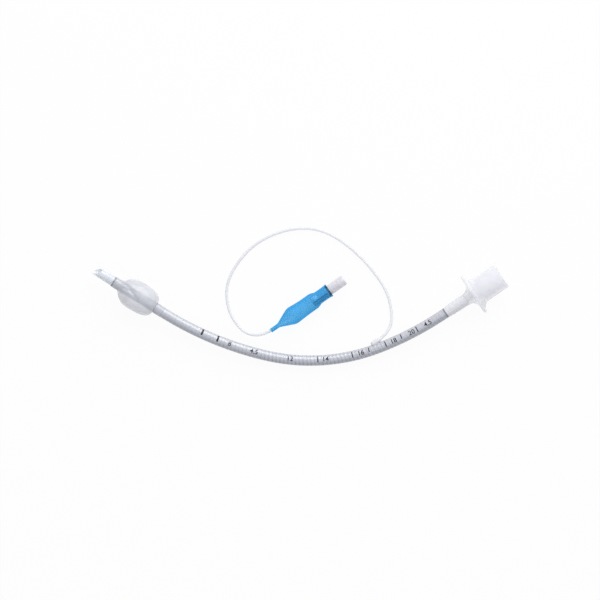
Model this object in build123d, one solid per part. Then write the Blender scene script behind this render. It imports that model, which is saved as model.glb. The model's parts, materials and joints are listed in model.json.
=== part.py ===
from build123d import *
from math import cos, degrees, pi, radians, sin, sqrt, tan
import os

# Cuffed, wire-reinforced endotracheal tube lying on its side, in millimetres.
# Stations are distances along the tube's centreline from the point of its tip.

# Tube
bore_diameter = 4.5
shaft_diameter = 6.0
tip_end_diameter = 5.3
tip_root_diameter = 5.7
tip_length = 12.9
bevel_angle = 48
bevel_turn = 24

# Bow of the tube, from the tip to the connector
tip_place = (-116.2, 26.9)
tip_heading = -32.4
straight_length = 46.4
tip_bend_radius = 190
tip_bend_angle = 19.5
middle_bend_radius = 108
middle_bend_angle = 34.5
end_bend_radius = 185
end_bend_angle = 12.6

# Wire coil in the wall
wire_diameter = 0.22
coil_middle_diameter = 5.06
coil_end_margin = 0.5

# Air passage in the wall, from the inflation line to the cuff
lumen_inner_radius = 2.7
lumen_outer_radius = 2.87
lumen_half_angle = 13
lumen_end_margin = 2
cuff_hole_station = 26
cuff_hole_diameter = 0.7
port_station = 175.5
port_diameter = 0.8

# Cuff
cuff_diameter = 17.2
cuff_start = 17.0
cuff_length = 24.0
cuff_film = 0.2
cuff_widest_share = 0.46
# Outline of the cuff from its tip end: the share of its length and of its rise above the collar
cuff_shape = [
    (0, 0),
    (0.15, 0.63),
    (0.29, 0.89),
    (cuff_widest_share, 1),
    (0.66, 0.95),
    (0.84, 0.76),
    (0.96, 0.45),
    (1, 0),
]
collar_film = 0.15
tip_collar_start = 13.3
end_collar_finish = 46.2

# Connector
cone_large_diameter = 15.47
cone_taper = 1 / 40
cone_length = 17.8
cone_lip_chamfer = 0.3
cone_mouth_wall = 1.4
cone_root_wall = 1.8
wing_span = 25
wing_thickness = 2.0
wing_tip_radius = 4.0
wing_edge_chamfer = 0.5
wing_web = 2.6
flange_height = 16.4
neck_diameter = 7.2
neck_length = 4.4
spigot_length = 14
spigot_lead = 1.2
spigot_root_diameter = 5.5
spigot_tip_diameter = 5.0
spigot_bore_diameter = 4.0
funnel_start = -0.3
funnel_length = 7

# Inflation line and the bead that seals it to the tube
line_diameter = 1.7
line_rise = 0.08
bead_length = 6.2
bead_diameter = 2.9
bead_end_film = 0.15

# Pilot balloon, its distances measured from the mouth of its neck
balloon_place = (-16.4, -8.8)
balloon_heading = 35
balloon_diameter = 10.5
balloon_end_diameter = 9.6
balloon_film = 0.35
balloon_neck_diameter = 2.5
balloon_neck_length = 5.3
balloon_flank_end = 12.4
balloon_flank_diameter = 8.8
balloon_shoulder = 15
balloon_body_end = 29.6
balloon_collar_diameter = 7.5
balloon_collar_start = 32.6
balloon_length = 40.2
line_insertion = 4
line_lead = 3.9
# Share of a corner's shorter run that its arc may take up
arc_share = 0.45

# Valve in the collar of the pilot balloon
housing_diameter = 6.4
housing_length = 22.4
housing_in_balloon = 11.8
socket_wall = 0.86
socket_mouth_diameter = 4.28
socket_taper = 0.06
socket_depth = 7.6
mouth_chamfer = 0.25
web_thickness = 1.3
web_hole_diameter = 2.4
chamber_diameter = 4.8
stem_diameter = 1.5
stem_gap_below_mouth = 2.2
stem_chamfer = 0.25
head_diameter = 3.4
head_thickness = 1.1
guide_length = 2.6
seal_outer_diameter = 3.9
seal_thickness = 0.8
retainer_thickness = 1.3
retainer_inset = 2.5
retainer_hole_diameter = 1.0
retainer_hole_circle = 3.3
retainer_hole_count = 4
spring_wire_diameter = 0.32
spring_middle_diameter = 2.6
spring_turns = 3.5

# Route of the inflation line over the floor, from the tube to the pilot balloon
line_route = [
    (50.6, -10.0, 3.4),
    (53.1, 0.5, 1.7),
    (48.8, 17.0, 1.0),
    (30.8, 38.0, 0.93),
    (11.0, 50.1, 0.93),
    (-9.4, 49.1, 0.93),
    (-28.9, 39.2, 0.93),
    (-42.1, 20.1, 0.93),
    (-41.5, 3.9, 1.0),
    (-35.1, -6.9, 1.9),
    (-28.6, -11.4, 3.6),
]

bore_radius = bore_diameter / 2
shaft_radius = shaft_diameter / 2
cuff_radius = cuff_diameter / 2
coil_inner_radius = (coil_middle_diameter - wire_diameter) / 2
coil_outer_radius = (coil_middle_diameter + wire_diameter) / 2
line_radius = line_diameter / 2
up = (0, 0, 1)

# The centreline as runs of one curvature: a length, and a radius or None where it is straight
bends = [
    (straight_length, None),
    (radians(tip_bend_angle) * tip_bend_radius, tip_bend_radius),
    (radians(middle_bend_angle) * middle_bend_radius, middle_bend_radius),
    (radians(end_bend_angle) * end_bend_radius, end_bend_radius),
]
coil_start = tip_length + coil_end_margin
coil_finish = sum(length for length, radius in bends)
stretch_start = coil_finish + coil_end_margin
spigot_tip_station = stretch_start + spigot_lead
shaft_finish = spigot_tip_station + spigot_length
flange_station = shaft_finish + neck_length


def station_plane(station):
    """Section plane on the centreline: x towards the inside of the bow, z towards the connector."""
    x, y = tip_place
    heading = radians(tip_heading)
    left = station
    for length, radius in bends + [(station, None)]:
        step = min(left, length)
        if radius is None:
            x += step * cos(heading)
            y += step * sin(heading)
        else:
            turned_heading = heading + step / radius
            x += radius * (sin(turned_heading) - sin(heading))
            y += radius * (cos(heading) - cos(turned_heading))
            heading = turned_heading
        left -= step
    inward = (-sin(heading), cos(heading), 0)
    return Plane(origin=(x, y, 0), x_dir=inward, z_dir=(cos(heading), sin(heading), 0))


def along_bow(profile, start, finish):
    """The profile carried along the centreline from one station to another."""
    pieces = []
    begin = 0
    for length, radius in bends + [(finish, None)]:
        first = max(start, begin)
        last = min(finish, begin + length)
        if last > first:
            plane = station_plane(first)
            if radius is None:
                pieces.append(extrude(plane * profile, last - first, dir=plane.z_dir))
            else:
                centre = plane.origin + plane.x_dir * radius
                pieces.append(revolve(plane * profile, Axis(centre, up), degrees((last - first) / radius)))
        begin += length
    return sum(pieces[1:], pieces[0])


def turned(face, plane):
    """A face drawn as (radius, distance), turned about the plane's z axis."""
    return plane * revolve(Plane.XZ * face, Axis.Z)


def outline(*points):
    return make_face(Polyline(*points, close=True))


def ring(inner_radius, outer_radius):
    return Circle(outer_radius) - Circle(inner_radius)


def taper(near_radius, near, far_radius, far):
    """The face under a straight slope, from the axis out to the radius at each end."""
    return outline((0, near), (near_radius, near), (far_radius, far), (0, far))


def soft_tip():
    """Wire-free tip with a slanted opening that faces the inside of the bow and up."""
    tip_radius = tip_end_diameter / 2
    body = turned(taper(tip_radius, 0, tip_root_diameter / 2, tip_length), station_plane(0))
    slant = radians(bevel_angle)
    cut = Plane(origin=(-tip_radius, 0, 0), z_dir=(cos(slant), 0, -sin(slant)))
    size = 4 * tip_length
    waste = Box(size, size, size, align=(Align.CENTER, Align.CENTER, Align.MIN))
    body -= station_plane(0) * Rotation(0, 0, bevel_turn) * cut.location * waste
    return body - along_bow(Circle(bore_radius), 0, tip_length)


def stretched_end(wall):
    """The tube's plain end, from the axis out to the spigot plus a wall, widened by the spigot."""
    return outline(
        (0, stretch_start),
        (bore_radius + wall, stretch_start),
        (spigot_tip_diameter / 2 + wall, spigot_tip_station),
        (spigot_root_diameter / 2 + wall, shaft_finish),
        (0, shaft_finish),
    )


def lumen_section():
    sweep_angle = 2 * lumen_half_angle
    inner = CenterArc((0, 0), lumen_inner_radius, -lumen_half_angle, sweep_angle)
    outer = CenterArc((0, 0), lumen_outer_radius, -lumen_half_angle, sweep_angle)
    return make_face([inner, outer, Line(inner @ 0, outer @ 0), Line(inner @ 1, outer @ 1)])


def wall_hole(station, diameter):
    """A round hole from the lumen out through the wall, on the inside of the bow."""
    drill = Pos(lumen_inner_radius, 0, 0) * Rotation(0, 90, 0) * Cylinder(
        diameter / 2, shaft_radius, align=(Align.CENTER, Align.CENTER, Align.MIN)
    )
    return station_plane(station).location * drill


def reinforced_shaft():
    """Tube wall with the coil's channel and the inflation lumen inside it."""
    wall = shaft_radius - bore_radius
    body = along_bow(Circle(shaft_radius), tip_length, stretch_start)
    body -= along_bow(Circle(bore_radius), tip_length, stretch_start)
    body -= along_bow(ring(coil_inner_radius, coil_outer_radius), coil_start, coil_finish)
    body -= along_bow(lumen_section(), cuff_hole_station - lumen_end_margin, port_station + lumen_end_margin)
    body -= wall_hole(cuff_hole_station, cuff_hole_diameter)
    body -= wall_hole(port_station, port_diameter)
    end = turned(stretched_end(wall) - stretched_end(0), station_plane(stretch_start).offset(-stretch_start))
    return body + end


def wire_coil():
    """The space that the closely wound wire takes up in the wall."""
    return along_bow(ring(coil_inner_radius, coil_outer_radius), coil_start, coil_finish)


def film_face(root_radius, peak_radius, start, finish):
    """The face under the blown film, down to the bore."""
    rise = peak_radius - root_radius
    film = [(root_radius + rise * height, start + (finish - start) * share) for share, height in cuff_shape]
    return outline(*film, (bore_radius, finish), (bore_radius, start))


def cuff():
    """Inflated film with a collar at each end, bonded to the tube."""
    collar_radius = shaft_radius + collar_film
    cuff_end = cuff_start + cuff_length
    outer = film_face(collar_radius, cuff_radius, cuff_start, cuff_end)
    inner = film_face(shaft_radius, cuff_radius - cuff_film, cuff_start + cuff_film, cuff_end - cuff_film)
    tip_collar = outline(
        (bore_radius, tip_collar_start),
        (collar_radius, tip_collar_start),
        (collar_radius, cuff_start),
        (bore_radius, cuff_start),
    )
    end_collar = outline(
        (bore_radius, cuff_end),
        (collar_radius, cuff_end),
        (collar_radius, end_collar_finish),
        (bore_radius, end_collar_finish),
    )
    film = turned(outer - inner + tip_collar + end_collar, station_plane(0))
    return film - along_bow(Circle(shaft_radius), tip_length, end_collar_finish + cuff_length)


def flange():
    """Two finger wings joined to the cone by a sloping web."""
    ear = Circle(wing_tip_radius).edge()
    reach = wing_span / 2 - wing_tip_radius
    plan = make_hull([Circle(flange_height / 2).edge(), Pos(reach, 0) * ear, Pos(-reach, 0) * ear])
    plate = extrude(plan, wing_thickness)
    rims = plate.edges().group_by(Axis.Z)
    plate = chamfer(rims[0] + rims[-1], wing_edge_chamfer)
    cone_radius = cone_large_diameter / 2
    slope = taper(cone_radius + wing_web, wing_thickness, cone_radius, wing_thickness + wing_web)
    limit = extrude(offset(plan, -wing_edge_chamfer), wing_thickness + wing_web)
    return plate + (revolve(Plane.XZ * slope, Axis.Z) & limit)


def tube_connector():
    """Tapered male cone with finger wings and a spigot that holds the tube's plain end."""
    cone_radius = cone_large_diameter / 2
    mouth_radius = cone_radius - cone_length * cone_taper / 2
    free_end = wing_thickness + cone_length
    cone = revolve(Plane.XZ * taper(cone_radius, wing_thickness, mouth_radius, free_end), Axis.Z)
    neck_radius = neck_diameter / 2
    swell = TangentArc((neck_radius, -neck_length), (neck_radius + neck_length, 0), tangent=(0, 1))
    swell_base = Polyline(swell @ 1, (0, 0), (0, -neck_length), swell @ 0)
    neck = revolve(Plane.XZ * make_face([swell.edge(), *swell_base.edges()]), Axis.Z)
    spigot_end = -neck_length - spigot_length
    spigot_face = taper(spigot_tip_diameter / 2, spigot_end, spigot_root_diameter / 2, -neck_length)
    spigot = revolve(Plane.XZ * spigot_face, Axis.Z)
    body = cone + flange() + neck + spigot
    funnel_end = funnel_start + funnel_length
    bore = spigot_bore_diameter / 2
    root_bore = cone_radius - cone_root_wall
    mouth_bore = mouth_radius - cone_mouth_wall
    body -= revolve(Plane.XZ * taper(bore, spigot_end, bore, funnel_start), Axis.Z)
    body -= revolve(Plane.XZ * taper(bore, funnel_start, root_bore, funnel_end), Axis.Z)
    body -= revolve(Plane.XZ * taper(root_bore, funnel_end, mouth_bore, free_end), Axis.Z)
    body = chamfer(body.edges().group_by(Axis.Z)[-1], cone_lip_chamfer)
    return station_plane(flange_station).location * body


def pilot_balloon(plane):
    """Blown film: a neck for the line, a body and a collar for the valve."""
    outer = balloon_face(balloon_neck_diameter / 2, balloon_collar_diameter / 2, 0)
    inner = balloon_face(line_radius, housing_diameter / 2, balloon_film)
    return turned(outer - inner, plane)


def balloon_face(neck_radius, collar_radius, film):
    """The face under one side of the film, which lies a film's thickness inside the balloon's size."""
    return outline(
        (0, 0),
        (neck_radius, 0),
        (neck_radius, balloon_neck_length + film),
        (balloon_flank_diameter / 2 - film, balloon_flank_end),
        (balloon_diameter / 2 - film, balloon_shoulder),
        (balloon_end_diameter / 2 - film, balloon_body_end - film),
        (collar_radius, balloon_collar_start - film),
        (collar_radius, balloon_length),
        (0, balloon_length),
    )


# Distances along the valve, from the housing's inner end to its mouth
web_finish = housing_length - socket_depth
web_start = web_finish - web_thickness
head_finish = web_start - seal_thickness
head_start = head_finish - head_thickness
guide_start = head_start - guide_length
stem_finish = housing_length - stem_gap_below_mouth
retainer_finish = retainer_inset + retainer_thickness
socket_floor_diameter = socket_mouth_diameter - socket_taper * socket_depth


def valve_housing():
    """Clear body with a tapered socket at its mouth and a spring chamber behind a web."""
    outer = taper(housing_diameter / 2, 0, housing_diameter / 2, housing_in_balloon)
    mouth = socket_mouth_diameter / 2 + socket_wall
    outer += taper(mouth, housing_in_balloon, mouth, housing_length)
    outer -= taper(chamber_diameter / 2, 0, chamber_diameter / 2, web_start)
    outer -= taper(web_hole_diameter / 2, web_start, web_hole_diameter / 2, web_finish)
    outer -= taper(socket_floor_diameter / 2, web_finish, socket_mouth_diameter / 2, housing_length)
    body = revolve(Plane.XZ * outer, Axis.Z)
    return chamfer(body.edges().group_by(Axis.Z)[-1], mouth_chamfer)


def valve_plunger():
    """Stem, head and spring guide in one piece."""
    face = taper(stem_diameter / 2, guide_start, stem_diameter / 2, stem_finish)
    face += taper(head_diameter / 2, head_start, head_diameter / 2, head_finish)
    body = revolve(Plane.XZ * face, Axis.Z)
    return chamfer(body.edges().group_by(Axis.Z)[-1], stem_chamfer)


def valve_seal():
    return Pos(0, 0, head_finish) * extrude(ring(stem_diameter / 2, seal_outer_diameter / 2), seal_thickness)


def valve_retainer():
    """Disc with a ring of air holes that the spring stands on."""
    holes = PolarLocations(retainer_hole_circle / 2, retainer_hole_count) * Circle(retainer_hole_diameter / 2)
    return Pos(0, 0, retainer_inset) * extrude(Circle(chamber_diameter / 2) - holes, retainer_thickness)


def valve_spring():
    height = head_start - retainer_finish - spring_wire_diameter
    coil = Helix(pitch=height / spring_turns, height=height, radius=spring_middle_diameter / 2)
    section = Plane(origin=coil @ 0, x_dir=(1, 0, 0), z_dir=coil % 0)
    wire = sweep(section * Rectangle(spring_wire_diameter, spring_wire_diameter), path=coil, is_frenet=True)
    return Pos(0, 0, retainer_finish + spring_wire_diameter / 2) * wire


def resting_place(parts):
    """Turns the bow onto its three supports and centres it over the floor."""
    cuff_middle = cuff_start + cuff_length * cuff_widest_share
    lowest_bow = straight_length + bends[1][0] + radians(-tip_heading - tip_bend_angle) * middle_bend_radius
    bow = station_plane(lowest_bow).origin
    cuff_arm = station_plane(cuff_middle).origin - bow
    cuff_rise = cuff_radius - shaft_radius
    flange_arm = station_plane(flange_station + wing_thickness / 2).origin - bow
    flange_rise = flange_height / 2 - shaft_radius
    area = cuff_arm.X * flange_arm.Y - cuff_arm.Y * flange_arm.X
    lean_x = (cuff_rise * flange_arm.Y - flange_rise * cuff_arm.Y) / area
    lean_y = (cuff_arm.X * flange_rise - flange_arm.X * cuff_rise) / area
    upright = sqrt(1 - lean_x**2 - lean_y**2)
    floor = Plane(origin=(0, 0, 0), x_dir=(1, 0, -lean_x), z_dir=(lean_x, lean_y, upright))
    tilt = floor.location.inverse()
    box = Compound([tilt * part for part in parts]).bounding_box()
    middle = box.center()
    return Pos(-middle.X, -middle.Y, -box.min.Z) * tilt


def line_points(start, mouth, inward):
    """Corners of the line's route, the last of them in line with the neck that it is pushed into."""
    corners = [Vector(*point) for point in line_route]
    return [start, *corners, mouth - inward * line_lead, mouth + inward * line_insertion]


def line_radii(points):
    """For each corner, the largest arc that its shorter run allows."""
    radii = []
    for before, corner, after in zip(points, points[1:], points[2:]):
        first, second = corner - before, after - corner
        half_turn = radians(first.get_angle(second)) / 2
        radii.append(arc_share * min(first.length, second.length) / tan(half_turn))
    return radii


def inflation_line(points):
    path = FilletPolyline(points, radius=line_radii(points))
    section = Plane(origin=points[0], z_dir=points[1] - points[0]) * Circle(line_radius)
    return sweep(section, path=path)


def line_seal(points, shaft, line):
    """Bead of adhesive that runs up the line from the tube."""
    half, radius = bead_length / 2, bead_diameter / 2
    face = outline(
        (0, -half),
        (radius / 2, -half),
        (radius, -half / 4),
        (radius, half / 4),
        (line_radius + bead_end_film, half),
        (0, half),
    )
    return turned(face, Plane(origin=points[0], z_dir=points[1] - points[0])) - shaft - line


bow_parts = {
    "soft_tip": soft_tip(),
    "reinforced_shaft": reinforced_shaft(),
    "wire_coil": wire_coil(),
    "cuff": cuff(),
    "tube_connector": tube_connector(),
}
rest = resting_place(list(bow_parts.values()))
model = {name: rest * part for name, part in bow_parts.items()}

balloon_axis = (cos(radians(balloon_heading)), sin(radians(balloon_heading)), 0)
balloon_mouth = Vector(*balloon_place, balloon_diameter / 2)
balloon_plane = Plane(origin=balloon_mouth, x_dir=(0, 0, 1), z_dir=balloon_axis)
valve_plane = balloon_plane.offset(balloon_length - housing_in_balloon)

port_plane = station_plane(port_station)
line_offset = shaft_radius + line_radius + line_rise
line_start = (rest * Pos(*(port_plane.origin + port_plane.x_dir * line_offset))).position
points = line_points(line_start, balloon_mouth, balloon_plane.z_dir)
line = inflation_line(points)
shaft_core = rest * along_bow(Circle(shaft_radius), port_station - bead_length, port_station + bead_length)

model["inflation_line"] = line
model["line_seal"] = line_seal(points, shaft_core, line)
model["pilot_balloon"] = pilot_balloon(balloon_plane)
for name, piece in {
    "valve_housing": valve_housing(),
    "valve_plunger": valve_plunger(),
    "valve_seal": valve_seal(),
    "valve_retainer": valve_retainer(),
    "valve_spring": valve_spring(),
}.items():
    model[name] = valve_plane.location * piece

os.makedirs("parts", exist_ok=True)
for name, piece in model.items():
    export_step(piece, f"parts/{name}.step")
    print(name, "volume", round(piece.volume, 2))

radii = line_radii(points)
path = FilletPolyline(points, radius=radii)
print("line radii", [round(radius, 1) for radius in radii])
section_area = pi * line_radius**2
print("line length", round(path.length, 2), "volume over section", round(line.volume / section_area, 2))
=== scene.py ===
# Endotracheal tube with cuff, pilot balloon and check valve, lying on a white table. Metres throughout.
import json
from math import cos, exp, pi, radians, sin
import bpy
import bmesh
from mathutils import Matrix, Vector


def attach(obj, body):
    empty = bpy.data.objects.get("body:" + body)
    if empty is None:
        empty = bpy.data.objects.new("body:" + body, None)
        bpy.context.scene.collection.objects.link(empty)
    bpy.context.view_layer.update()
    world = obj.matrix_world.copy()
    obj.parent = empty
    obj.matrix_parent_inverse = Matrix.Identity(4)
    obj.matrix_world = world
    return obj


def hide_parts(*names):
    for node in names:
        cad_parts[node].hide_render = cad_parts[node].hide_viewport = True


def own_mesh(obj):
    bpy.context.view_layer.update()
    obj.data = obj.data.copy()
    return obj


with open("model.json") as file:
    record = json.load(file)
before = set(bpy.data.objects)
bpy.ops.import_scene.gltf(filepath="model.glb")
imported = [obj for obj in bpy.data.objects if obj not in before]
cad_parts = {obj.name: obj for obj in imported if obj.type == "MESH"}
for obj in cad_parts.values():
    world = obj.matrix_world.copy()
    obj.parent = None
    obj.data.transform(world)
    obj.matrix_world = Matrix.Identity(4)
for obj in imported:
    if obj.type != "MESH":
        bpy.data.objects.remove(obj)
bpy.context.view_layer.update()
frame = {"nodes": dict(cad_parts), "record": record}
mm = 0.001

# places that the pieces are built from, read from the part's own mounts
mounts = {m["name"]: m for m in frame["record"]["mounts"]}
coneAxis = Vector(mounts["cone_15"]["axis"]).normalized()
alongTip = -Vector(mounts["airway_bore"]["axis"]).normalized()
boreMiddle = 23.2 * mm  # how far the bore's mount is from the point of the tip
tipPoint = Vector(mounts["airway_bore"]["pos_m"]) - alongTip * boreMiddle
bowUp = alongTip.cross(coneAxis).normalized()
inwardTip = bowUp.cross(alongTip)
valveAxis = Vector(mounts["inflation_socket"]["axis"]).normalized()
valveReach = 50.8 * mm  # from the mouth of the balloon's neck to the mouth of the socket
balloonMouth = Vector(mounts["inflation_socket"]["pos_m"]) - valveAxis * valveReach
worldUp = Vector((0, 0, 1))
valveSide = worldUp.cross(valveAxis)

# camera: straight down, as far away as the slight perspective needs
viewOf = {
    "centre": (0.05 * mm, 8.7 * mm),
    "width": 340.6 * mm,
    "distance": 1.6,
    "objectMiddle": 8 * mm,
    "roll": 0.15,  # degrees
    "sensor": 36,
}


def makeCamera():
    data = bpy.data.cameras.new("camera")
    data.sensor_width = viewOf["sensor"]
    data.lens = data.sensor_width * viewOf["distance"] / viewOf["width"]
    camera = bpy.data.objects.new("camera", data)
    camera.location = (*viewOf["centre"], viewOf["distance"] + viewOf["objectMiddle"])
    camera.rotation_euler.z = radians(viewOf["roll"])
    bpy.context.scene.collection.objects.link(camera)
    bpy.context.scene.camera = camera


makeCamera()


# geometry helpers
def addMesh(name, verts, faces, smooth=True):
    mesh = bpy.data.meshes.new(name)
    mesh.from_pydata([tuple(v) for v in verts], [], faces)
    mesh.update()
    obj = bpy.data.objects.new(name, mesh)
    bpy.context.scene.collection.objects.link(obj)
    for polygon in mesh.polygons:
        polygon.use_smooth = smooth
    return obj


def ringGrid(verts, sides, closed):
    # quads between neighbouring rings of points
    faces = []
    count = len(verts) // sides
    for i in range(count if closed else count - 1):
        a, b = i * sides, (i + 1) % count * sides
        for k in range(sides):
            n = (k + 1) % sides
            faces.append((a + k, a + n, b + n, b + k))
    return faces


def eased(a, b, c, d, t):
    # a value between b and c that leans on the values before and after them
    square, cube = 2 * a - 5 * b + 4 * c - d, 3 * b - a - 3 * c + d
    return 0.5 * (2 * b + (c - a) * t + square * t * t + cube * t ** 3)


def smoothLine(points, steps):
    # a curve through the points
    ends = [points[0]] + list(points) + [points[-1]]
    curve = []
    for p0, p1, p2, p3 in zip(ends, ends[1:], ends[2:], ends[3:]):
        for i in range(steps):
            curve.append(tuple(eased(a, b, c, d, i / steps) for a, b, c, d in zip(p0, p1, p2, p3)))
    return curve + [tuple(points[-1])]


cornerShare = 0.45  # the most that a rounded corner takes of the edges beside it


def rounded(points, radius, steps):
    # a closed outline with its corners rounded
    out = []
    count = len(points)
    for i, corner in enumerate(points):
        here = Vector(corner)
        before, after = Vector(points[i - 1]) - here, Vector(points[(i + 1) % count]) - here
        reach = min(radius, before.length * cornerShare, after.length * cornerShare)
        start, finish = here + before.normalized() * reach, here + after.normalized() * reach
        for k in range(steps + 1):
            t = k / steps
            out.append(tuple(start * (1 - t) ** 2 + here * (2 * t * (1 - t)) + finish * t * t))
    return out


def storeAtPoints(obj, name, values):
    obj.data.attributes.new(name, "FLOAT", "POINT").data.foreach_set("value", values)


def turnedPiece(name, outline, place, sides, shape=None):
    # outline: closed loop of (radius, distance); place: distance, radius, angle to a point
    verts = []
    for radius, distance in outline:
        for k in range(sides):
            angle = 2 * pi * k / sides
            r = radius + (shape(radius, distance, angle) if shape else 0)
            verts.append(place(distance, r, angle))
    obj = addMesh(name, verts, ringGrid(verts, sides, True))
    fixNormals(obj)
    return obj


def fixNormals(obj):
    work = bmesh.new()
    work.from_mesh(obj.data)
    bmesh.ops.recalc_face_normals(work, faces=work.faces)
    work.to_mesh(obj.data)
    work.free()


def sharpen(obj, degreesKept):
    # hard edges stay hard where the surface turns by more than this
    work = bmesh.new()
    work.from_mesh(obj.data)
    for edge in work.edges:
        edge.smooth = len(edge.link_faces) == 2 and edge.calc_face_angle(0) < radians(degreesKept)
    work.to_mesh(obj.data)
    work.free()


def tubeAlong(name, points, radius, sides):
    # a round wire or tube that follows points close together
    verts = []
    side = None
    for i, point in enumerate(points):
        forward = (points[min(i + 1, len(points) - 1)] - points[max(i - 1, 0)]).normalized()
        side = forward.orthogonal() if side is None else side - forward * side.dot(forward)
        side.normalize()
        other = forward.cross(side)
        for k in range(sides):
            angle = 2 * pi * k / sides
            verts.append(point + (side * cos(angle) + other * sin(angle)) * radius)
    faces = ringGrid(verts, sides, False)
    faces.append(tuple(range(sides - 1, -1, -1)))
    faces.append(tuple(range(len(verts) - sides, len(verts))))
    obj = addMesh(name, verts, faces)
    fixNormals(obj)
    return obj


def bowPlace(station):
    # a point of the centreline, and the direction from it to the inside of the bow
    point, heading, left = tipPoint.copy(), 0.0, station
    for length, radius in bow["runs"]:
        step = min(left, length)
        forward = alongTip * cos(heading) + inwardTip * sin(heading)
        inward = inwardTip * cos(heading) - alongTip * sin(heading)
        if radius:
            turn = step / radius
            point += forward * (radius * sin(turn)) + inward * (radius * (1 - cos(turn)))
            heading += turn
        else:
            point += forward * step
        left -= step
    forward = alongTip * cos(heading) + inwardTip * sin(heading)
    inward = inwardTip * cos(heading) - alongTip * sin(heading)
    return point + forward * left, inward


def onTube(station, radius, angle):
    # angle 0 faces the inside of the bow, and a quarter turn faces up
    point, inward = bowPlace(station)
    return point + (inward * cos(angle) + bowUp * sin(angle)) * radius


def onValve(distance, radius, angle):
    # angle 0 faces the upper edge of the picture, and a quarter turn faces up
    return balloonMouth + valveAxis * distance + (valveSide * cos(angle) + worldUp * sin(angle)) * radius


# materials
looks = {}
finishOf = {
    "cloudDetail": 4,
    "fineDetail": 3,
    "darkUpTo": 0.3,  # noise below this is the darkest colour, and above the next value the lightest
    "lightFrom": 0.7,
    "lightShare": 0.5,  # how much less the light clouds stand out than the dark ones
    "glossSpread": 0.1,
    "smoothest": 0.02,
    "bumpDepth": 0.1 * mm,
    "coatRoughness": 0.12,
}
mixSockets = {"first": 6, "second": 7, "result": 2}  # the colour sockets of Blender's mix node


def surface(name, color, roughness=0.35, alpha=1.0, spread=0.06, grain=400.0, bump=0.04, bumpGrain=900.0,
            metallic=0.0, ior=1.46, coat=0.0, absorb=None):
    # cloudy colour, uneven gloss and a fine bump, all from noise in the object's own space
    material = bpy.data.materials.new(name)
    material.use_nodes = True
    nodes, links = material.node_tree.nodes, material.node_tree.links
    nodes.clear()
    out = nodes.new("ShaderNodeOutputMaterial")
    shader = nodes.new("ShaderNodeBsdfPrincipled")
    links.new(shader.outputs["BSDF"], out.inputs["Surface"])
    where = nodes.new("ShaderNodeTexCoord")

    clouds = nodes.new("ShaderNodeTexNoise")
    clouds.inputs["Scale"].default_value = grain
    clouds.inputs["Detail"].default_value = finishOf["cloudDetail"]
    links.new(where.outputs["Object"], clouds.inputs["Vector"])
    ramp = nodes.new("ShaderNodeValToRGB")
    dark = [c * (1 - spread) for c in color]
    light = [min(1, c * (1 + spread * finishOf["lightShare"])) for c in color]
    ramp.color_ramp.elements[0].position = finishOf["darkUpTo"]
    ramp.color_ramp.elements[0].color = (*dark, 1)
    ramp.color_ramp.elements[1].position = finishOf["lightFrom"]
    ramp.color_ramp.elements[1].color = (*light, 1)
    links.new(clouds.outputs["Fac"], ramp.inputs["Fac"])
    links.new(ramp.outputs["Color"], shader.inputs["Base Color"])

    gloss = nodes.new("ShaderNodeMapRange")
    gloss.inputs["To Min"].default_value = max(finishOf["smoothest"], roughness - finishOf["glossSpread"] / 2)
    gloss.inputs["To Max"].default_value = roughness + finishOf["glossSpread"] / 2
    links.new(clouds.outputs["Fac"], gloss.inputs["Value"])
    links.new(gloss.outputs["Result"], shader.inputs["Roughness"])

    fine = nodes.new("ShaderNodeTexNoise")
    fine.inputs["Scale"].default_value = bumpGrain
    fine.inputs["Detail"].default_value = finishOf["fineDetail"]
    links.new(where.outputs["Object"], fine.inputs["Vector"])
    raised = nodes.new("ShaderNodeBump")
    raised.inputs["Strength"].default_value = bump
    raised.inputs["Distance"].default_value = finishOf["bumpDepth"]
    links.new(fine.outputs["Fac"], raised.inputs["Height"])
    links.new(raised.outputs["Normal"], shader.inputs["Normal"])

    shader.inputs["Metallic"].default_value = metallic
    shader.inputs["IOR"].default_value = ior
    shader.inputs["Coat Weight"].default_value = coat
    shader.inputs["Coat Roughness"].default_value = finishOf["coatRoughness"]
    shader.inputs["Alpha"].default_value = alpha
    if absorb:
        soak = nodes.new("ShaderNodeVolumeAbsorption")
        soak.inputs["Color"].default_value = (*absorb[0], 1)
        soak.inputs["Density"].default_value = absorb[1]
        links.new(soak.outputs["Volume"], out.inputs["Volume"])
    looks[name] = material


def dress(obj, material):
    obj.data.materials.clear()
    obj.data.materials.append(looks[material])


def dressNode(node, material):
    obj = frame["nodes"][node]
    for entry in obj.material_slots:
        entry.material = looks[material]


surface("tipPolymer", (0.88, 0.91, 0.96), roughness=0.25, alpha=0.6, coat=0.5, spread=0.04, bump=0.03)
surface("tubePolymer", (0.92, 0.92, 0.94), roughness=0.24, alpha=0.85, coat=1.0, ior=1.6, spread=0.04,
        bump=0.03)
surface("coilSteel", (0.22, 0.23, 0.28), roughness=0.32, metallic=0.85, spread=0.12, grain=1500, bump=0.02)
surface("cuffFilm", (0.79, 0.80, 0.86), roughness=0.2, alpha=0.45, coat=0.8, grain=160, bump=0.12,
        bumpGrain=350)
surface("cuffInside", (0.79, 0.80, 0.86), roughness=0.22, alpha=0.15, grain=160, bump=0.05)
surface("connectorPlastic", (0.93, 0.93, 0.965), roughness=0.3, alpha=0.45, coat=0.2, spread=0.02, grain=120,
        bump=0.03)
surface("linePolymer", (0.90, 0.91, 0.94), roughness=0.4, alpha=0.6, spread=0.02, bump=0.01)
surface("beadResin", (0.86, 0.86, 0.89), roughness=0.4, alpha=0.85, spread=0.03, bumpGrain=600)
surface("balloonFilm", (0.03, 0.44, 0.94), roughness=0.26, alpha=0.28, coat=1.0, spread=0.08, grain=220,
        bump=0.06, bumpGrain=500, absorb=((0.10, 0.84, 0.975), 2600))
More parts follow.
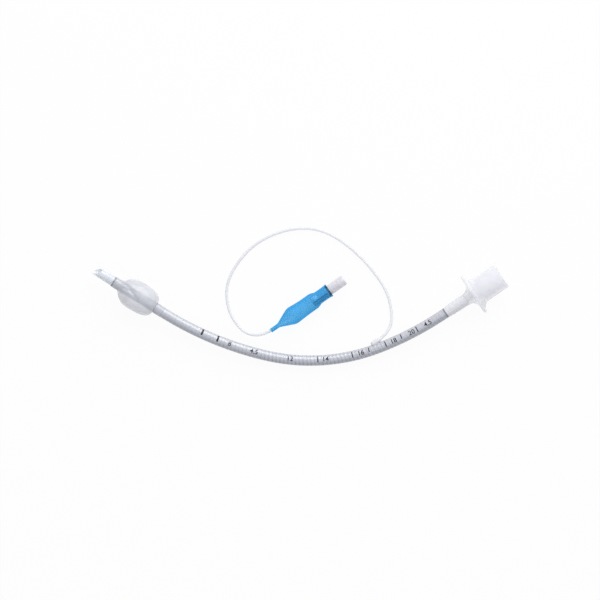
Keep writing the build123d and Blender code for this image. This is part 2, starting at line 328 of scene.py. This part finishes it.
surface("clearHousing", (0.86, 0.84, 0.89), roughness=0.3, alpha=0.7, coat=0.2, spread=0.03, bump=0.02)
surface("whitePlastic", (0.80, 0.80, 0.84), roughness=0.4, spread=0.04)
surface("sealRubber", (0.05, 0.05, 0.07), roughness=0.6, spread=0.2, bump=0.1)
surface("retainerPlastic", (0.20, 0.32, 0.46), roughness=0.4, spread=0.05)
surface("springWire", (0.45, 0.46, 0.50), roughness=0.28, metallic=0.9, spread=0.1, grain=2000, bump=0.02)
surface("ink", (0.015, 0.015, 0.02), roughness=0.5, spread=0.3, grain=3000, bump=0.1, bumpGrain=3000)


def tintAlong(material, attribute, steps):
    # the cloudy colour times a ramp that follows a value stored at the mesh's points
    nodes, links = material.node_tree.nodes, material.node_tree.links
    shader = next(n for n in nodes if n.type == "BSDF_PRINCIPLED")
    clouds = shader.inputs["Base Color"].links[0].from_socket
    shown = nodes.new("ShaderNodeAttribute")
    shown.attribute_name = attribute
    tint = nodes.new("ShaderNodeValToRGB")
    links.new(shown.outputs["Fac"], tint.inputs["Fac"])
    stops = tint.color_ramp.elements
    for place, color in steps[1:-1]:
        stops.new(place).color = (*color, 1)
    stops[0].color = (*steps[0][1], 1)
    stops[-1].color = (*steps[-1][1], 1)
    mixed = nodes.new("ShaderNodeMix")
    mixed.data_type = "RGBA"
    mixed.blend_type = "MULTIPLY"
    mixed.inputs["Factor"].default_value = 1
    links.new(clouds, mixed.inputs[mixSockets["first"]])
    links.new(tint.outputs["Color"], mixed.inputs[mixSockets["second"]])
    links.new(mixed.outputs[mixSockets["result"]], shader.inputs["Base Color"])


# plain wall, between the turns, over the wire, over the close turns at each end; the coil is painted lighter
# on its upper side, a painted highlight, and darker on the rest, painted shade
tintAlong(looks["tubePolymer"], "coilAndPaintedLight", [
    (0, (0.98, 0.98, 1.0)), (0.5, (0.61, 0.62, 0.67)), (0.75, (0.42, 0.44, 0.51)), (1, (0.26, 0.27, 0.31)),
])
# painted shade: the balloon film is painted darker over its mouth
tintAlong(looks["balloonFilm"], "paintedMouthShade", [(0, (1, 1, 1)), (1, (0.05, 0.10, 0.18))])
# painted shade on the valve body: a shadow line, a darker lower side and a dark ring at the mouth
tintAlong(looks["clearHousing"], "paintedValveShade", [(0, (1, 1, 1)), (1, (0.01, 0.015, 0.03))])
print("materials", len(looks))


# inflation line: a limp clear tube from the bead on the shaft to the balloon's neck
line = {
    "diameter": 1.7 * mm,
    "length": 203 * mm,
    "roundSteps": 5,
    "lengthSteps": 16,
    # points of the route, in millimetres
    "route": [
        (43.443, -14.885, 4.539), (50.6, -10.0, 3.4), (53.1, 0.5, 1.7), (48.8, 17.0, 1.0),
        (30.8, 38.0, 0.93), (11.0, 50.1, 0.93), (-9.4, 49.1, 0.93), (-28.9, 39.2, 0.93),
        (-42.1, 20.1, 0.93), (-41.5, 3.9, 1.0), (-35.1, -6.9, 1.9), (-28.6, -11.4, 3.6),
        (-19.595, -11.037, 5.25), (-13.123, -6.506, 5.25),
    ],
}


def makeLine():
    data = bpy.data.curves.new("inflationLine", "CURVE")
    data.dimensions = "3D"
    data.bevel_depth = line["diameter"] / 2
    data.bevel_resolution = line["roundSteps"]
    data.resolution_u = line["lengthSteps"]
    data.use_fill_caps = True
    spline = data.splines.new("NURBS")
    spline.points.add(len(line["route"]) - 1)
    for point, place in zip(spline.points, line["route"]):
        point.co = (*[c * mm for c in place], 1)
    spline.order_u = 3
    spline.use_endpoint_u = True
    piece = bpy.data.objects.new("inflationLine", data)
    bpy.context.scene.collection.objects.link(piece)
    data.materials.append(looks["linePolymer"])
    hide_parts("inflation_line")
    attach(piece, "tube")
    return piece


# the tube's bow, wall and coil
bow = {
    # length and radius of each stretch of the centreline, from the tip
    "runs": [
        (46.4 * mm, None),
        (radians(19.5) * 190 * mm, 190 * mm),
        (radians(34.5) * 108 * mm, 108 * mm),
        (radians(12.6) * 185 * mm, 185 * mm),
    ],
    "coilStart": 13.4 * mm,
    "coilEnd": 218.6 * mm,
    "coilRadius": 2.53 * mm,
    "wire": 0.32 * mm,
    "wireSides": 6,
    "stepsPerTurn": 18,
    "pitch": 2.2 * mm,
    "endPitch": 0.36 * mm,
    "endTurns": 3,
    "bandWidth": 0.5 * mm,
    "wallStart": 12.9 * mm,
    "boreRadius": 2.25 * mm,
    "wallRadius": 3.0 * mm,
    "ribDepth": 0.04 * mm,
    # how much of the wire shows: less on the upper side between two angles, a painted highlight, and more on
    # the rest of the round, painted shade
    "paintedHighlightHalf": {"from": 14, "to": 96, "shown": 0.40},
    "coilShownInPaintedShade": 0.61,
    # station, and how far the ribs darken there
    "ribShown": [(13, 0.06), (60, 0.08), (100, 0.12), (112, 0.22), (165, 0.22), (185, 0.12), (219, 0.08)],
    "ribSharpness": 5,
    "sides": 52,
    "ribSteps": 9,
    "boreSteps": 90,
    # station and outer radius of the plain end, then the bore's radii from its rim inwards, in millimetres
    "plainEnd": [(219.2, 3.0), (220.2, 3.25), (232.5, 3.5)],
    "endBore": [2.75, 2.5],
    "rim": 0.12,
    "hardEdge": 40,
}


def ribShare(station):
    # the ribs are plainest in the middle of the bow
    steps = bow["ribShown"]
    s = station / mm
    for (s0, v0), (s1, v1) in zip(steps, steps[1:]):
        if s <= s1:
            return v0 + (v1 - v0) * max(0, s - s0) / (s1 - s0)
    return steps[-1][1]


def coilTurn(station):
    # turns of the wire up to a station: close at both ends, open between
    closed = bow["endTurns"] * bow["endPitch"]
    first = bow["coilStart"] + closed
    last = bow["coilEnd"] - closed
    turns = (min(station, first) - bow["coilStart"]) / bow["endPitch"]
    turns += max(0, min(station, last) - first) / bow["pitch"]
    return turns + max(0, station - last) / bow["endPitch"]


def makeCoil():
    perTurn = bow["stepsPerTurn"]
    total = coilTurn(bow["coilEnd"])
    station = bow["coilStart"]
    stations = []
    for i in range(int(total * perTurn) + 1):
        stations.append(station)
        turn = i / perTurn
        near = turn < bow["endTurns"] or turn > total - bow["endTurns"]
        station += (bow["endPitch"] if near else bow["pitch"]) / perTurn
    half = bow["wire"] / 2
    low, high = bow["coilStart"] + half, bow["coilEnd"] - half
    points = []
    for i, station in enumerate(stations):
        points.append(onTube(min(max(station, low), high), bow["coilRadius"], 2 * pi * i / perTurn))
    coil = tubeAlong("wireCoil", points, half, bow["wireSides"])
    dress(coil, "coilSteel")
    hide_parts("wire_coil")
    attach(coil, "tube")


def coilAndPaintedLight(station, angle, wave):
    # plain wall, the coil with a painted highlight on its upper side and painted shade on the rest, its ribs,
    # and the band of close turns at each end
    start, end = bow["coilStart"], bow["coilEnd"]
    if min(abs(station - start), abs(station - end)) < bow["bandWidth"]:
        return 1
    if not start < station < end:
        return 0
    half = bow["paintedHighlightHalf"]
    # painted highlight between the two angles, painted shade elsewhere on the coil
    paintedLightTone = half["shown"] if radians(half["from"]) < angle < radians(half["to"]) else bow["coilShownInPaintedShade"]
    return paintedLightTone + ribShare(station) * (1 - wave) ** bow["ribSharpness"]


def makeWall():
    # outer skin with a faint rib over each turn of the wire, then the bore back to the start
    angles = [2 * pi * k / bow["sides"] for k in range(bow["sides"])]
    verts = []
    shown = []
    start, end = bow["wallStart"], bow["plainEnd"][0][0] * mm
    count = int((end - start) / (bow["pitch"] / bow["ribSteps"]))
    for i in range(count + 1):
        station = start + (end - start) * i / count
        inRibs = bow["coilStart"] < station < bow["coilEnd"]
        for angle in angles:
            wave = 0.5 - 0.5 * cos(2 * pi * coilTurn(station) - angle) if inRibs else 0
            shown.append(coilAndPaintedLight(station, angle, wave))
            verts.append(onTube(station, bow["wallRadius"] - bow["ribDepth"] * wave, angle))
    (_, _), (flareAt, flare), (endAt, wide) = bow["plainEnd"]
    rim = bow["rim"]
    plain = [(flareAt, flare), (endAt - rim, wide), (endAt, wide - rim)]
    inside = [(endAt, bow["endBore"][0]), (flareAt, bow["endBore"][1])]
    rest = [(s * mm, r * mm) for s, r in plain + inside] + [(end, bow["boreRadius"])]
    for i in range(1, bow["boreSteps"] + 1):
        rest.append((end + (start - end) * i / bow["boreSteps"], bow["boreRadius"]))
    for station, radius in rest:
        for angle in angles:
            verts.append(onTube(station, radius, angle))
    wall = addMesh("tubeWall", verts, ringGrid(verts, bow["sides"], True))
    storeAtPoints(wall, "coilAndPaintedLight", shown + [0] * (len(verts) - len(shown)))
    fixNormals(wall)
    sharpen(wall, bow["hardEdge"])
    dress(wall, "tubePolymer")
    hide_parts("reinforced_shaft")
    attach(wall, "tube")


# depth marks: bars across the upper side and plain numerals that read towards the connector
marks = {
    # station, width and the span across the tube, in millimetres
    "bars": [
        (71.5, 1.1, -0.3, 3.5), (81.1, 1.1, -0.3, 3.5), (140.0, 0.6, -0.5, 3.0), (160.0, 0.6, -0.5, 3.0),
        (169.9, 0.6, 0.2, 3.0), (180.1, 0.6, -0.5, 3.0), (189.9, 0.6, 0.2, 3.0), (199.9, 0.6, -0.5, 3.0),
    ],
    "numerals": [
        (88.4, "8"), (103.0, "4.5"), (124.0, "12"), (144.4, "14"), (165.0, "16"), (185.0, "18"),
        (196.4, "20"), (207.0, "4.5"),
    ],
    "height": 2.8,
    "heightShare": 0.72,  # of the type's own size
    "boldness": 0.05,
    "curveSteps": 3,
    "middle": 0.95,
    "facet": 0.35,  # widest facet, so that a mark follows the tube's round
    "lift": 0.012 * mm,
    "thickness": 0.008 * mm,
}


def cutAcross(work, axis):
    # cuts flat outlines into strips no wider than a facet
    normal = Vector((1, 0, 0)) if axis == 0 else Vector((0, 1, 0))
    places = [v.co[axis] for v in work.verts]
    cut, last = min(places) + marks["facet"], max(places)
    while cut < last:
        everything = work.verts[:] + work.edges[:] + work.faces[:]
        bmesh.ops.bisect_plane(work, geom=everything, plane_co=normal * cut, plane_no=normal)
        cut += marks["facet"]


def printed(name, mesh):
    # flat outlines in millimetres, x along the tube and y across it, laid round the tube
    work = bmesh.new()
    work.from_mesh(mesh)
    cutAcross(work, 0)
    cutAcross(work, 1)
    bmesh.ops.triangulate(work, faces=work.faces)
    work.verts.index_update()
    flat = [v.co.copy() for v in work.verts]
    faces = [tuple(v.index for v in f.verts) for f in work.faces]
    work.free()
    radius = bow["wallRadius"]
    verts = []
    for level in (marks["lift"] + marks["thickness"], marks["lift"]):
        for p in flat:
            verts.append(onTube(p.x * mm, radius + level, pi / 2 - p.y * mm / radius))
    edges = {edge for f in faces for edge in zip(f, f[1:] + f[:1])}
    count = len(flat)
    under = [tuple(i + count for i in reversed(f)) for f in faces]
    rims = [(b, a, a + count, b + count) for a, b in sorted(edges) if (b, a) not in edges]
    piece = addMesh(name, verts, faces + under + rims, smooth=False)
    fixNormals(piece)
    dress(piece, "ink")
    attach(piece, "tube")


def makeMarks():
    mesh = bpy.data.meshes.new("bars")
    verts, faces = [], []
    for station, width, low, high in marks["bars"]:
        left, right = station - width / 2, station + width / 2
        n = len(verts)
        verts += [(left, low, 0), (right, low, 0), (right, high, 0), (left, high, 0)]
        faces.append((n, n + 1, n + 2, n + 3))
    mesh.from_pydata(verts, [], faces)
    printed("depthBars", mesh)
    for i, (station, text) in enumerate(marks["numerals"]):
        data = bpy.data.curves.new("numeral", "FONT")
        data.body = text
        data.size = marks["height"] / marks["heightShare"]
        data.align_x = "CENTER"
        data.align_y = "CENTER"
        data.resolution_u = marks["curveSteps"]
        data.offset = marks["boldness"]
        holder = bpy.data.objects.new("numeral", data)
        bpy.context.scene.collection.objects.link(holder)
        bpy.context.view_layer.update()
        shown = holder.evaluated_get(bpy.context.evaluated_depsgraph_get())
        flat = bpy.data.meshes.new_from_object(shown)
        bpy.data.objects.remove(holder)
        for v in flat.vertices:
            v.co.x += station
            v.co.y += marks["middle"]
        printed("depthNumeral_%d" % i, flat)


# cuff: blown film with a few soft folds, closed onto the tube by a collar at each end
cuff = {
    "film": 0.14 * mm,
    "sides": 128,
    "curveSteps": 4,
    # radius and station, in millimetres
    "outline": [
        (3.15, 13.8), (3.15, 15.6), (3.17, 17.3), (3.5, 18.0), (4.3, 18.8), (5.6, 19.9), (6.9, 21.4),
        (7.85, 23.2), (8.4, 25.4), (8.6, 28.0), (8.5, 31.0), (8.25, 34.0), (7.6, 37.0), (6.6, 39.2),
        (5.2, 40.6), (3.9, 41.1), (3.2, 41.25), (3.15, 42.6), (3.15, 46.2),
    ],
    # angle round the tube, drift along it, start, finish, depth and width of each fold
    "folds": [
        (52, 3.6, 18, 33, 0.8, 8), (84, -1.0, 18, 29, 0.6, 7), (34, 0.5, 18, 27, 0.5, 8),
        (115, 0.6, 19, 25, 0.3, 8), (-60, 0.4, 33, 41, 0.35, 9), (75, -0.8, 35, 41, 0.35, 8),
        (150, 0.3, 34, 41, 0.3, 9), (-130, 0.5, 19, 27, 0.35, 9), (-20, 0.5, 19, 26, 0.3, 8),
        (20, 0.2, 35, 41, 0.3, 8),
    ],
    # height, waves round the tube and turn along it of each slow swell
    "swells": [(0.07, 3, 0.25), (0.05, 5, -0.4)],
    "collarRadius": 3.3,
    "foldsFullBy": 2,  # how far out from the collar the folds reach their whole depth
    "foldShare": 0.9,
    "insideRadius": 3.01 * mm,
}


def cuffFold(radius, station, angle):
    if radius < cuff["collarRadius"] * mm:
        return 0.0
    height = 0.0
    s = station / mm
    for middle, drift, start, finish, deep, wide in cuff["folds"]:
        if not start < s < finish:
            continue
        along = sin(pi * (s - start) / (finish - start))
        off = angle - radians(middle + drift * (s - start))
        off = (off + pi) % (2 * pi) - pi
        height -= deep * along * exp(-((off / radians(wide)) ** 2))
    for high, waves, turn in cuff["swells"]:
        height += high * sin(waves * angle + turn * s)
    share = min(1.0, (radius / mm - cuff["collarRadius"]) / cuff["foldsFullBy"])
    return height * mm * share * cuff["foldShare"]


def makeCuff():
    outer = [(r * mm, s * mm) for r, s in smoothLine(cuff["outline"], cuff["curveSteps"])]
    inner = []
    for i, (r, s) in enumerate(outer):
        a, b = outer[max(i - 1, 0)], outer[min(i + 1, len(outer) - 1)]
        forward = Vector((b[0] - a[0], b[1] - a[1])).normalized()
        inner.append((max(r - forward.y * cuff["film"], cuff["insideRadius"]), s + forward.x * cuff["film"]))
    piece = turnedPiece("cuffFilm", outer + inner[::-1], onTube, cuff["sides"], cuffFold)
    dress(piece, "cuffFilm")
    piece.data.materials.append(looks["cuffInside"])  # the film's inner skin hides less
    outerFaces = cuff["sides"] * (len(outer) - 1)
    for polygon in piece.data.polygons:
        polygon.material_index = 0 if polygon.index < outerFaces else 1
    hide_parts("cuff")
    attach(piece, "tube")


# pilot balloon, distances from the mouth of its neck
balloon = {
    "film": 0.3 * mm,
    "sides": 72,
    "curveSteps": 4,
    # radius and distance, in millimetres
    "outline": [
        (1.25, 0), (1.25, 2.5), (1.3, 5.0), (1.75, 6.4), (2.65, 8.4), (3.6, 10.5), (4.45, 12.4),
        (5.0, 13.8), (5.24, 15.2), (5.2, 17), (4.95, 20.5), (4.82, 24), (4.8, 27.5), (4.72, 29.6),
        (4.3, 31.2), (3.85, 32.4), (3.75, 34), (3.76, 37), (3.85, 39.0), (4.05, 40.0), (4.0, 40.4),
    ],
    "hardEdge": 50,
    "neckEnd": 6 * mm,
    "neckInside": 0.86 * mm,
    "collarStart": 30.5 * mm,
    "collarInside": 3.21 * mm,
    "flattening": 0.05 * mm,
    "unevenness": {"height": 0.05 * mm, "waves": 3, "turn": 200},
    "paintedShadeStart": 38.8,  # the film is painted darker over the next millimetre, painted shade for its thick edge at the mouth
}


def balloonShape(radius, distance, angle):
    # slightly flattened and uneven, as a blown film is
    start, finish = balloon["neckEnd"], balloon["collarStart"]
    if not start <= distance <= finish:
        return 0.0
    swell = balloon["unevenness"]
    height = swell["height"] * sin(swell["waves"] * angle + swell["turn"] * distance)
    return sin(pi * (distance - start) / (finish - start)) * (height - balloon["flattening"])


def makeBalloon():
    outer = [(r * mm, d * mm) for r, d in smoothLine(balloon["outline"], balloon["curveSteps"])]
    inner = []
    for r, d in outer:
        low = balloon["collarInside"] if d > balloon["collarStart"] else balloon["neckInside"]
        inner.append((max(r - balloon["film"], low), d))
    piece = turnedPiece("balloonFilm", outer + inner[::-1], onValve, balloon["sides"], balloonShape)
    sharpen(piece, balloon["hardEdge"])
    distances = [(v.co - balloonMouth).dot(valveAxis) / mm for v in piece.data.vertices]
    # painted shade, rising over a millimetre towards the mouth
    storeAtPoints(piece, "paintedMouthShade", [min(1, max(0, d - balloon["paintedShadeStart"])) for d in distances])
    dress(piece, "balloonFilm")
    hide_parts("pilot_balloon")
    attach(piece, "tube")
    return piece


# valve body: clear moulding with a tapered socket, a web and a spring chamber
valve = {
    # radius and distance, in millimetres
    "section": [
        (2.4, 28.4), (3.2, 28.4), (3.2, 40.2), (3.0, 40.3), (3.0, 46.4), (3.08, 46.6), (3.08, 47.4),
        (3.0, 47.6), (3.0, 50.2), (2.8, 50.65), (2.4, 50.8), (2.14, 50.8), (1.91, 43.2), (1.2, 43.2),
        (1.2, 41.9), (2.4, 41.9),
    ],
    "edge": 0.35,
    "edgeSteps": 4,
    "sides": 64,
    "hardEdge": 50,
    "springTurns": 3.5,
    "springRadius": 1.3 * mm,
    "springWire": 0.36 * mm,
    "springFrom": 32.2 * mm,
    "springTo": 40.0 * mm,
    "wireSides": 8,
    "stepsPerTurn": 24,
    "press": 1.2 * mm,
    # painted shadow line along the chamber, just to the lower side of its axis, painted shade over its lower
    # side, and a painted dark ring at the balloon's mouth, in millimetres
    "paintedShadowLine": {"from": 29.0, "to": 38.5, "offset": -0.95, "halfWidth": 0.5, "paintedShadeBelow": 0.35},
    "paintedMouthRing": {"from": 39.0, "to": 40.35},
    "fade": 0.04,  # half of the distance over which their ends blur
}


def valveOutline():
    # the section with rounded corners, and rings on the chamber where the painted shadow line and the painted
    # mouth ring begin and end
    loop = rounded(valve["section"], valve["edge"], valve["edgeSteps"])
    wall = next(i for i, (a, b) in enumerate(zip(loop, loop[1:])) if b[1] - a[1] > valve["edge"])
    changes = [valve["paintedShadowLine"]["from"], valve["paintedShadowLine"]["to"], valve["paintedMouthRing"]["from"]]
    rings = [(loop[wall][0], place + side * valve["fade"]) for place in changes for side in (-1, 1)]
    return [(r * mm, d * mm) for r, d in loop[: wall + 1] + rings + loop[wall + 1 :]]


def paintedValveShade(point):
    # painted shadow line, painted shade on the lower side and the painted mouth ring
    paintedShadowLine, paintedMouthRing = valve["paintedShadowLine"], valve["paintedMouthRing"]
    out = point - balloonMouth
    along, off = out.dot(valveAxis) / mm, out.dot(valveSide) / mm - paintedShadowLine["offset"]
    inPaintedShadowLine = paintedShadowLine["from"] < along < paintedShadowLine["to"] and out.z > 0 and abs(off) < paintedShadowLine["halfWidth"]
    if inPaintedShadowLine or paintedMouthRing["from"] < along < paintedMouthRing["to"]:
        return 1
    return paintedShadowLine["paintedShadeBelow"] if along < paintedMouthRing["to"] and off < 0 else 0


def makeValveBody():
    body = turnedPiece("valveBody", valveOutline(), onValve, valve["sides"])
    sharpen(body, valve["hardEdge"])
    storeAtPoints(body, "paintedValveShade", [paintedValveShade(v.co) for v in body.data.vertices])
    dress(body, "clearHousing")
    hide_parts("valve_housing")
    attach(body, "tube")
    return body


def makeSpring():
    perTurn = valve["stepsPerTurn"]
    steps = int(valve["springTurns"] * perTurn)
    half = valve["springWire"] / 2
    low, high = valve["springFrom"] + half, valve["springTo"] - half
    points = []
    for i in range(steps + 1):
        points.append(onValve(low + (high - low) * i / steps, valve["springRadius"], 2 * pi * i / perTurn))
    spring = tubeAlong("valveSpring", points, half, valve["wireSides"])
    dress(spring, "springWire")
    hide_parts("valve_spring")
    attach(spring, "tube")
    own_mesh(spring)
    return spring


# bead of resin that seals the line into the shaft
bead = {
    # radius and distance along the line, in millimetres
    "outline": [
        (0.86, -3.1), (1.1, -3.08), (1.35, -2.4), (1.45, -0.9), (1.42, 0.9), (1.25, 2.1), (1.05, 2.9),
        (0.86, 3.1),
    ],
    "sides": 40,
    "curveSteps": 3,
}


def makeBead():
    start = Vector(line["route"][0]) * mm
    axis = (Vector(line["route"][1]) - Vector(line["route"][0])).normalized()
    side = axis.orthogonal().normalized()
    other = axis.cross(side)

    def onLine(distance, radius, angle):
        return start + axis * distance + (side * cos(angle) + other * sin(angle)) * radius

    loop = [(r * mm, d * mm) for r, d in smoothLine(bead["outline"], bead["curveSteps"])]
    piece = turnedPiece("lineBead", loop, onLine, bead["sides"])
    dress(piece, "beadResin")
    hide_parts("line_seal")
    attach(piece, "tube")


linePiece = makeLine()
print("inflation line")
makeCoil()
makeWall()
print("coil and wall")
makeMarks()
print("depth marks")
makeCuff()
balloonPiece = makeBalloon()
valvePieces = [makeValveBody(), makeSpring()]
makeBead()
print("films, valve and bead")

solidLooks = {
    "soft_tip": "tipPolymer",
    "tube_connector": "connectorPlastic",
    "valve_plunger": "whitePlastic",
    "valve_seal": "sealRubber",
    "valve_retainer": "retainerPlastic",
}
for node, material in solidLooks.items():
    dressNode(node, material)


# white table, lamps and sky
studio = {
    "tableSize": 3.0,
    "tableHeight": -0.06 * mm,  # just under the lowest of the scene's pieces
    "tableColor": 0.9,
    "glow": 0.94,  # how white the table looks where it is seen directly
    "key": {"place": (0.3, 0.9, 0.65), "size": 1.1, "power": 12.2},
    "fill": {"place": (-0.3, -0.7, 0.8), "size": 0.9, "power": 1.7},
    "sky": (0.44, 0.45, 0.475),
}


def seenDirectly(nodes, links):
    # 1 where the camera, a reflection or a clear material looks at the background
    path = nodes.new("ShaderNodeLightPath")
    seen = path.outputs["Is Camera Ray"]
    for ray in ("Is Glossy Ray", "Is Transmission Ray"):
        either = nodes.new("ShaderNodeMath")
        either.operation = "MAXIMUM"
        links.new(seen, either.inputs[0])
        links.new(path.outputs[ray], either.inputs[1])
        seen = either.outputs[0]
    return seen


def makeTable():
    half = studio["tableSize"] / 2
    corners = [(-half, -half, 0), (half, -half, 0), (half, half, 0), (-half, half, 0)]
    table = addMesh("table", corners, [(0, 1, 2, 3)])
    table.location.z = studio["tableHeight"]
    card = bpy.data.materials.new("tableCard")
    card.use_nodes = True
    nodes, links = card.node_tree.nodes, card.node_tree.links
    nodes.clear()
    out = nodes.new("ShaderNodeOutputMaterial")
    matte = nodes.new("ShaderNodeBsdfDiffuse")
    matte.inputs["Color"].default_value = (studio["tableColor"],) * 3 + (1,)
    light = nodes.new("ShaderNodeEmission")
    mixed = nodes.new("ShaderNodeMixShader")
    share = nodes.new("ShaderNodeMath")
    share.operation = "MULTIPLY"
    share.inputs[1].default_value = studio["glow"]
    links.new(seenDirectly(nodes, links), share.inputs[0])
    links.new(share.outputs[0], mixed.inputs["Fac"])
    links.new(matte.outputs[0], mixed.inputs[1])
    links.new(light.outputs[0], mixed.inputs[2])
    links.new(mixed.outputs[0], out.inputs["Surface"])
    table.data.materials.append(card)


def makeLamps():
    for name in ("key", "fill"):
        lamp = studio[name]
        data = bpy.data.lights.new(name, "AREA")
        data.size = lamp["size"]
        data.energy = lamp["power"]
        obj = bpy.data.objects.new(name, data)
        obj.location = lamp["place"]
        obj.rotation_euler = (-Vector(lamp["place"])).to_track_quat("-Z", "Y").to_euler()
        bpy.context.scene.collection.objects.link(obj)


def makeSky():
    world = bpy.data.worlds.new("sky")
    bpy.context.scene.world = world
    world.use_nodes = True
    nodes, links = world.node_tree.nodes, world.node_tree.links
    sky = nodes["Background"]
    shown = nodes.new("ShaderNodeMix")
    shown.data_type = "RGBA"
    shown.inputs[mixSockets["first"]].default_value = (*studio["sky"], 1)
    shown.inputs[mixSockets["second"]].default_value = (1, 1, 1, 1)
    links.new(seenDirectly(nodes, links), shown.inputs["Factor"])
    links.new(shown.outputs[mixSockets["result"]], sky.inputs["Color"])


makeTable()
makeLamps()
makeSky()
bpy.context.scene.view_settings.view_transform = "Standard"
print("studio")
